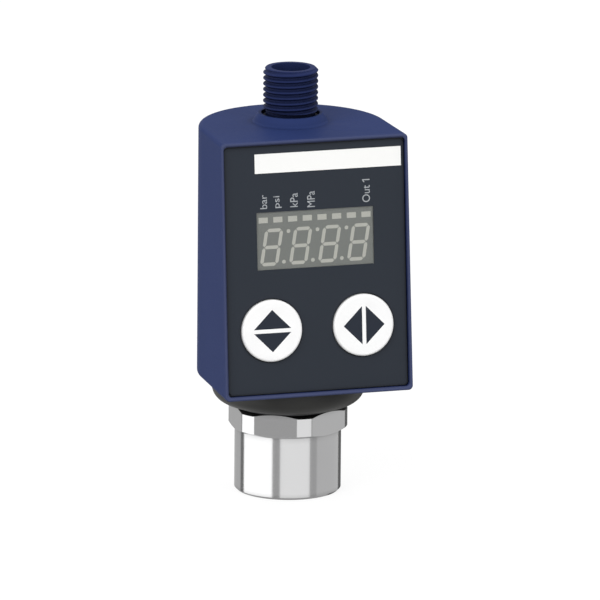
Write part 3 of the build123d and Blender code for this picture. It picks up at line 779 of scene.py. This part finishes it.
THREAD_SUMS = [
    # Place on the grid, from 0 to 1 both ways
    ("around", "ADD", "X", 0.5),
    ("along", "ADD", "Y", 0.5),
    # Height: one pitch for a lap, kept between the two ends of the thread
    ("laps up", "MULTIPLY_ADD", "along", "Turns", -1 - 1 / ROWS_PER_TURN),
    ("laps", "ADD", "laps up", "around"),
    ("free height", "MULTIPLY_ADD", "laps", "Pitch", "Low"),
    ("kept height", "MAXIMUM", "free height", "Low"),
    ("height", "MINIMUM", "kept height", "High"),
    # Place in the thread's profile, and from it 0 on a crest and 1 at a root
    ("rise", "SUBTRACT", "height", "Low"),
    ("rise in pitches", "DIVIDE", "rise", "Pitch"),
    ("turned back", "SUBTRACT", "rise in pitches", "around"),
    ("profile", "ADD", "turned back", "Phase"),
    ("angle in profile", "MULTIPLY", "profile", 2 * math.pi),
    ("wave", "COSINE", "angle in profile"),
    ("raised wave", "MULTIPLY", "wave", "Gain"),
    ("sloping root", "SUBTRACT", 0.5, "raised wave"),
    ("deep root", "MAXIMUM", "sloping root", 0.0),
    ("root", "MINIMUM", "deep root", 1.0),
    # The groove fades out towards the high end
    ("room", "SUBTRACT", "High", "height"),
    ("fade", "DIVIDE", "room", "Run Out"),
    ("ending", "MINIMUM", "fade", 1.0),
    ("faded root", "MULTIPLY", "root", "ending"),
    ("groove", "MULTIPLY", "faded root", "Depth"),
    # Radius, cut off by the cone at the mouth
    ("crest", "MULTIPLY", "Side", "Crest Radius"),
    ("wall", "SUBTRACT", "crest", "groove"),
    ("to mouth", "SUBTRACT", "height", "Mouth Height"),
    ("depth of cone", "ABSOLUTE", "to mouth"),
    ("cone", "MULTIPLY_ADD", "Side", "Mouth Radius", "depth of cone"),
    ("cut wall", "MINIMUM", "wall", "cone"),
    ("wall radius", "MULTIPLY", "Side", "cut wall"),
    # The first row alone lies at the rim
    ("first row", "LESS_THAN", "along", 0.001),
    ("to rim", "SUBTRACT", "Rim Radius", "wall radius"),
    ("radius", "MULTIPLY_ADD", "first row", "to rim", "wall radius"),
    ("turn", "MULTIPLY", "around", 2 * math.pi),
    ("cosine", "COSINE", "turn"),
    ("sine", "SINE", "turn"),
    ("across", "MULTIPLY", "radius", "cosine"),
    ("deep", "MULTIPLY", "radius", "sine"),
]
print("and", len(THREAD_SUMS), "sums")


# %% [markdown]
# The tree makes the grid, works through the sums, one Math node each, and sets every point where
# they say. Merging the corners closes the tube along its seam, and the tree ends with real
# geometry in the piece's material. To get a thread, the inputs are set on a modifier by their
# identifiers, and the mesh that comes out is kept.

# %% The thread as a Geometry Nodes tree
def thread_tree():
    """Tube of a screw thread: an end ring at the rim radius, then the threaded wall."""
    tree = bpy.data.node_groups.new("screw thread", "GeometryNodeTree")
    tree.interface.new_socket("Geometry", in_out="OUTPUT", socket_type="NodeSocketGeometry")
    for name, (kind, value) in THREAD_INPUTS.items():
        socket = tree.interface.new_socket(name, in_out="INPUT", socket_type=kind)
        if value is not None:
            socket.default_value = value
    given = add_node(tree, "NodeGroupInput").outputs
    rows = add_node(
        tree, "ShaderNodeMath", {0: given["Turns"], 1: ROWS_PER_TURN, 2: 1.0}, operation="MULTIPLY_ADD"
    )
    grid = add_node(
        tree,
        "GeometryNodeMeshGrid",
        {"Size X": 1.0, "Size Y": 1.0, "Vertices X": COLUMNS + 1, "Vertices Y": rows.outputs[0]},
    )
    place = add_node(tree, "GeometryNodeInputPosition")
    flat = add_node(tree, "ShaderNodeSeparateXYZ", {0: place.outputs[0]})
    known = {socket.name: socket for socket in [*given, *flat.outputs]}
    for name, operation, *terms in THREAD_SUMS:
        links = {i: known[term] if isinstance(term, str) else term for i, term in enumerate(terms)}
        known[name] = add_node(tree, "ShaderNodeMath", links, operation=operation).outputs[0]
    rolled = add_node(
        tree, "ShaderNodeCombineXYZ", {"X": known["across"], "Y": known["deep"], "Z": known["height"]}
    )
    placed = add_node(
        tree, "GeometryNodeSetPosition", {"Geometry": grid.outputs["Mesh"], "Position": rolled.outputs[0]}
    )
    merged = add_node(
        tree, "GeometryNodeMergeByDistance", {"Geometry": placed.outputs[0], "Distance": MERGE_DISTANCE}
    )
    real = add_node(tree, "GeometryNodeRealizeInstances", {"Geometry": merged.outputs[0]})
    dressed = add_node(
        tree, "GeometryNodeSetMaterial", {"Geometry": real.outputs[0], "Material": given["Material"]}
    )
    add_node(tree, "NodeGroupOutput", {"Geometry": dressed.outputs[0]})
    return tree


screw_thread = thread_tree()


def thread_skin(name, **sizes):
    """Mesh of one thread, with the tree's inputs given by their names."""
    carrier = new_object(name, bpy.data.meshes.new(name))
    modifier = carrier.modifiers.new("thread", "NODES")
    modifier.node_group = screw_thread
    sockets = {item.name: item for item in screw_thread.interface.items_tree if item.in_out == "INPUT"}
    for key, value in sizes.items():
        modifier[sockets[key.replace("_", " ").title()].identifier] = value
    graph = bpy.context.evaluated_depsgraph_get()
    mesh = bpy.data.meshes.new_from_object(carrier.evaluated_get(graph))
    bpy.data.objects.remove(carrier)
    return mesh


print("thread tree with", len(screw_thread.nodes), "nodes")


# %% [markdown]
# The rest of those two pieces is round, so each is a stack of rings, given by a radius and a
# height. A radius may also be a rule over the angle: that is how the hexagon gets its flats and
# the plug's socket its coding rib. Ring after ring is joined to a skin, the thread's skin is
# added, and merging the corners closes the whole.

# %% Rings to a skin
def ring_stack(bm, rings, columns=COLUMNS):
    """Join rings of (radius, height) in millimetres, where either may be a rule over the angle."""
    turns = [2 * math.pi * i / columns for i in range(columns)]
    previous = None
    for radius, height in rings:
        current = []
        for turn in turns:
            r = radius(turn) if callable(radius) else radius
            z = height(turn) if callable(height) else height
            current.append(bm.verts.new((r * MM * math.cos(turn), r * MM * math.sin(turn), z * MM)))
        if previous:
            for i in range(columns):
                j = (i + 1) % columns
                bm.faces.new((previous[i], previous[j], current[j], current[i]))
        previous = current


print("a ring has", COLUMNS, "corners")


# %% [markdown]
# The port's hexagon has its corners turned down to 26 mm and bevelled at 30 degrees. The distance
# to a flat is the same for all six, so its radius is that distance over the cosine of the angle
# to the nearest flat, cut off at the corner's radius. The bevel's height follows from the radius,
# and gives the arcs on the flats that a real nut has.

# %% Hexagon
FLAT_DISTANCE = 12.0
CORNER_RADIUS = 13.0
BEVEL = math.tan(math.radians(30))


def hexagon(turn):
    """Radius of the hexagon at an angle, with its corners turned down. Flats look to both sides of X."""
    off_flat = (turn + math.pi / 6) % (math.pi / 3) - math.pi / 6
    return min(FLAT_DISTANCE / math.cos(off_flat), CORNER_RADIUS)


def bevel_height(turn):
    """Height that the bevel takes from a corner of the hexagon."""
    return (hexagon(turn) - FLAT_DISTANCE) * BEVEL


print("a corner is bevelled by", round(bevel_height(math.pi / 6), 2), "mm")


# %% [markdown]
# The port is one turned piece: a barrel with a small edge, the hexagon, and above it the hollow
# neck that the head turns on, with a groove for the circlip. The rings go up on its outside, over
# the neck, and down through the chamber of the measuring cell to the bore.

# %% Skin of the steel port
BARREL_RADIUS = 11.6
BARREL_TOP = 13.9
BARREL_EDGE = 0.5
HEXAGON_TOP = 19.0
NECK_RADIUS = 11.0
GROOVE_RADIUS = 10.25
GROOVE_LOW = 29.15
GROOVE_HIGH = 30.4
NECK_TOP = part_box("process_port")[1].z / MM
CHAMBER_RADIUS = 9.25
CHAMBER_FLOOR = 17.0
SEAL_GROOVE = (5.3, 7.3, 15.7)
CHANNEL_RADIUS = 2.0
BORE_DEPTH = 12.5
BORE_RADIUS = 5.7225

port_bm = bmesh.new()
port_rings = [
    (BARREL_RADIUS - BARREL_EDGE, 0),
    (BARREL_RADIUS, BARREL_EDGE),
    (BARREL_RADIUS, BARREL_TOP),
    (FLAT_DISTANCE, BARREL_TOP),
    (hexagon, lambda turn: BARREL_TOP + bevel_height(turn)),
    (hexagon, lambda turn: HEXAGON_TOP - bevel_height(turn)),
    (FLAT_DISTANCE, HEXAGON_TOP),
    (NECK_RADIUS, HEXAGON_TOP),
    (NECK_RADIUS, GROOVE_LOW),
    (GROOVE_RADIUS, GROOVE_LOW),
    (GROOVE_RADIUS, GROOVE_HIGH),
    (NECK_RADIUS, GROOVE_HIGH),
    (NECK_RADIUS, NECK_TOP),
    (CHAMBER_RADIUS, NECK_TOP),
    (CHAMBER_RADIUS, CHAMBER_FLOOR),
    (SEAL_GROOVE[1], CHAMBER_FLOOR),
    (SEAL_GROOVE[1], SEAL_GROOVE[2]),
    (SEAL_GROOVE[0], SEAL_GROOVE[2]),
    (SEAL_GROOVE[0], CHAMBER_FLOOR),
    (CHANNEL_RADIUS, CHAMBER_FLOOR),
    (CHANNEL_RADIUS, BORE_DEPTH),
    (BORE_RADIUS, BORE_DEPTH),
]
ring_stack(port_bm, port_rings)
print(len(port_rings), "rings")


# %% [markdown]
# The bore has a pipe thread with 19 turns to the inch, so 1.337 mm each. It starts at the flat
# lower face, where a chamfer opens the mouth, and runs out near the bore's floor. Together with
# the rings it closes the port's skin.

# %% Pipe thread in the port
BORE_MOUTH_RADIUS = 6.1225
PIPE_PITCH = 1.337
PIPE_DEPTH = 0.856
PIPE_GAIN = 0.95
PIPE_RUN_OUT = 1.5

port_thread = thread_skin(
    "port_thread",
    turns=math.ceil(BORE_DEPTH / PIPE_PITCH) + 1,
    side=-1.0,
    crest_radius=BORE_RADIUS * MM,
    depth=PIPE_DEPTH * MM,
    pitch=PIPE_PITCH * MM,
    phase=0.0,
    gain=PIPE_GAIN,
    low=0.0,
    high=BORE_DEPTH * MM,
    run_out=PIPE_RUN_OUT * MM,
    rim_radius=(BARREL_RADIUS - BARREL_EDGE) * MM,
    mouth_radius=BORE_MOUTH_RADIUS * MM,
    mouth_height=0.0,
    material=finishes["port_steel"],
)
port_bm.from_mesh(port_thread)
port = new_object("port_turned", close_and_smooth(port_bm, "port_turned"))
print("pipe thread:", len(port_thread.polygons), "faces")


# %% [markdown]
# The neck has one cross hole, for the pin that stops the head after its turn. A hole in the side
# of a round wall has no simple outline, so a drill is made at the pin's own place and taken away
# by a Boolean modifier. The drill is a closed solid that starts at the pin's foot and ends outside.

# %% Hole for the stop pin
DRILL_SIDES = 48
DRILL_OVERSHOOT = 1.0
pin_low, pin_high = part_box("stop_pin")
pin_middle = (pin_low + pin_high) / 2
drill_length = pin_high.y - pin_low.y + DRILL_OVERSHOOT * MM
drill_place = Vector((pin_middle.x, pin_low.y + drill_length / 2, pin_middle.z))
bm = bmesh.new()
bmesh.ops.create_cone(
    bm,
    cap_ends=True,
    segments=DRILL_SIDES,
    radius1=(pin_high.x - pin_low.x) / 2,
    radius2=(pin_high.x - pin_low.x) / 2,
    depth=drill_length,
    matrix=Matrix.Translation(drill_place) @ Matrix.Rotation(math.radians(90), 4, "X"),
)
bmesh.ops.recalc_face_normals(bm, faces=bm.faces)
drill_mesh = bpy.data.meshes.new("drill")
bm.to_mesh(drill_mesh)
bm.free()
drill = new_object("drill", drill_mesh)
drilling = port.modifiers.new("drilling", "BOOLEAN")
drilling.operation = "DIFFERENCE"
drilling.solver = "EXACT"
drilling.object = drill
graph = bpy.context.evaluated_depsgraph_get()
port.data = bpy.data.meshes.new_from_object(port.evaluated_get(graph))
port.modifiers.remove(drilling)
bpy.data.objects.remove(drill)
port.data.set_sharp_from_angle(angle=SHARP_ANGLE)
stand_in(port, "process_port")
print("port:", len(port.data.polygons), "faces")


# %% [markdown]
# The plug on top is moulded, with a flange under the case, a groove for its seal, and an undercut
# below the thread where the mould parts. Inside, a coding rib keeps the cable's plug from going in
# the wrong way round: it is a step in the bore's radius over a small angle, on the front side.

# %% Skin of the plug connector
connector_low, connector_high = (corner.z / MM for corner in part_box("connector_shell"))
SHELL_RADIUS = 5.95
SHELL_RIM_RADIUS = 5.36
SHELL_BORE = 4.23
SHELL_FLANGE = 7.8
SHELL_FLANGE_TOP = connector_low + 2.0
SHELL_SEAL = (6.4, 7.4, 0.8)
UNDERCUT_RADIUS = 5.35
UNDERCUT_LOW = 83.1
UNDERCUT_HIGH = 84.3
RIB_HALF_WIDTH = 0.45
RIB_HEIGHT = 0.5
RIB_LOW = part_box("contact_carrier")[1].z / MM
RIB_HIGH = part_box("contact_pins")[1].z / MM


def rib_bore(turn):
    """Radius of the socket, with the coding rib on its front side."""
    off_rib = math.remainder(turn + math.pi / 2, 2 * math.pi)
    inside = abs(off_rib) < RIB_HALF_WIDTH / SHELL_BORE
    return SHELL_BORE - RIB_HEIGHT if inside else SHELL_BORE


shell_bm = bmesh.new()
shell_rings = [
    (UNDERCUT_RADIUS, UNDERCUT_HIGH),
    (UNDERCUT_RADIUS, UNDERCUT_LOW),
    (SHELL_RADIUS, UNDERCUT_LOW),
    (SHELL_RADIUS, SHELL_FLANGE_TOP),
    (SHELL_SEAL[0], SHELL_FLANGE_TOP),
    (SHELL_SEAL[0], SHELL_FLANGE_TOP - SHELL_SEAL[2]),
    (SHELL_SEAL[1], SHELL_FLANGE_TOP - SHELL_SEAL[2]),
    (SHELL_SEAL[1], SHELL_FLANGE_TOP),
    (SHELL_FLANGE, SHELL_FLANGE_TOP),
    (SHELL_FLANGE, connector_low),
    (SHELL_BORE, connector_low),
    (SHELL_BORE, RIB_LOW),
    (rib_bore, RIB_LOW),
    (rib_bore, RIB_HIGH),
    (SHELL_BORE, RIB_HIGH),
    (SHELL_BORE, connector_high),
    (SHELL_RIM_RADIUS, connector_high),
]
ring_stack(shell_bm, shell_rings)
print(len(shell_rings), "rings")


# %% [markdown]
# A cable's nut screws onto the plug's thread. It ends square at the undercut, and at the top it
# goes on through the chamfer. Its pitch is drawn as the photograph shows it, and its phase sets
# where round the plug a crest passes the front.

# %% Thread of the plug connector
SHELL_PITCH = 1.25
SHELL_DEPTH = 0.55
SHELL_PHASE = 0.875
SHELL_GAIN = 0.6
# The groove goes on to the top, so its run-out is next to nothing
SHELL_RUN_OUT = 0.001

shell_thread = thread_skin(
    "shell_thread",
    turns=math.ceil((connector_high - UNDERCUT_HIGH) / SHELL_PITCH) + 1,
    side=1.0,
    crest_radius=SHELL_RADIUS * MM,
    depth=SHELL_DEPTH * MM,
    pitch=SHELL_PITCH * MM,
    phase=SHELL_PHASE,
    gain=SHELL_GAIN,
    low=UNDERCUT_HIGH * MM,
    high=connector_high * MM,
    run_out=SHELL_RUN_OUT * MM,
    rim_radius=UNDERCUT_RADIUS * MM,
    mouth_radius=SHELL_RIM_RADIUS * MM,
    mouth_height=connector_high * MM,
    material=finishes["connector_plastic"],
)
shell_bm.from_mesh(shell_thread)
shell = new_object("connector_threaded", close_and_smooth(shell_bm, "connector_threaded"))
stand_in(shell, "connector_shell")
print("plug connector:", len(shell.data.polygons), "faces")


# %% [markdown]
# The units that the display can show are printed over their bars, turned so that they read
# upwards. Each is text from Blender's own font, made a mesh. That font's figure one is a bare
# stem, so a flag is added to it: four points, from the stem's right side, made a closed block.

# %% Words as meshes
TEXT_HALF_DEPTH = 0.5
FIGURE_FLAG = [(-0.09, 0.682), (-0.28, 0.56), (-0.28, 0.47), (-0.09, 0.565)]


def reach_of(mesh, axis):
    """Least and greatest coordinate of a mesh along an axis, which is 0 or 1."""
    values = [corner.co[axis] for corner in mesh.vertices]
    return min(values), max(values)


def word_mesh(name, words):
    """Raised text as a mesh, with a flag on a figure one at its end."""
    text = bpy.data.curves.new(name, "FONT")
    text.body = words
    text.extrude = TEXT_HALF_DEPTH
    holder = new_object(name, text)
    graph = bpy.context.evaluated_depsgraph_get()
    mesh = bpy.data.meshes.new_from_object(holder.evaluated_get(graph))
    bpy.data.objects.remove(holder)
    if words.endswith("1"):
        stem = reach_of(mesh, 0)[1]
        bm = bmesh.new()
        bm.from_mesh(mesh)
        under = [bm.verts.new((stem + x, y, -TEXT_HALF_DEPTH)) for x, y in FIGURE_FLAG]
        over = [bm.verts.new((stem + x, y, TEXT_HALF_DEPTH)) for x, y in FIGURE_FLAG]
        bm.faces.new(over)
        bm.faces.new(reversed(under))
        for i in range(len(FIGURE_FLAG)):
            bm.faces.new((under[i - 1], under[i], over[i], over[i - 1]))
        bmesh.ops.recalc_face_normals(bm, faces=bm.faces)
        bm.to_mesh(mesh)
        bm.free()
    return mesh


print("the flag has", len(FIGURE_FLAG), "points")


# %% [markdown]
# The marks are screen printed in pale grey ink, a few hundredths of a millimetre thick. Each word
# is fitted to its printed box, and then laid on the label by the sloping face's own frame: up the
# slope, across, and out towards the reader.

# %% Printed unit marks
LABEL_DEPTH = 0.85
INK_THICKNESS = 0.02
# Each mark: its words, then its box on the face, first up the slope and then across
MARKS = {
    "mark_bar": ("bar", 40.32, 43.35, -12.25, -10.69),
    "mark_psi": ("psi", 40.35, 42.95, -9.2, -7.45),
    "mark_kilopascal": ("kPa", 40.35, 43.38, -5.5, -3.8),
    "mark_megapascal": ("MPa", 40.12, 43.58, -1.7, 0.02),
    "mark_output": ("Out 1", 40.47, 45.45, 10.7, 12.42),
}

# Ink is a thin matt film, paler than the foil round it
ink = moulded(
    "pale screen ink", "#A9ADB1", "#A2A6AA", 0.6, grain=0.2, depth=0.0005, Specular_IOR_Level=0.2
)
turned_frame = Matrix((upward, -across, outward)).transposed().to_4x4()

for name, (words, start, end, low, high) in MARKS.items():
    mesh = word_mesh(name, words)
    left, right = reach_of(mesh, 0)
    foot, head = reach_of(mesh, 1)
    thinning = INK_THICKNESS / (2 * TEXT_HALF_DEPTH)
    fit = Matrix.Diagonal(((end - start) / (right - left), (high - low) / (head - foot), thinning, 1))
    corner = FACE_ORIGIN + upward * start + across * high - outward * (LABEL_DEPTH - INK_THICKNESS / 2)
    mesh.transform(
        Matrix.Scale(MM, 4)
        @ Matrix.Translation(corner)
        @ turned_frame
        @ fit
        @ Matrix.Translation((-left, -foot, 0))
    )
    mesh.name = name
    mesh.materials.clear()
    mesh.materials.append(ink)
    mark = new_object(name, mesh)
    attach(mark, "head")
print(len(MARKS), "marks printed")
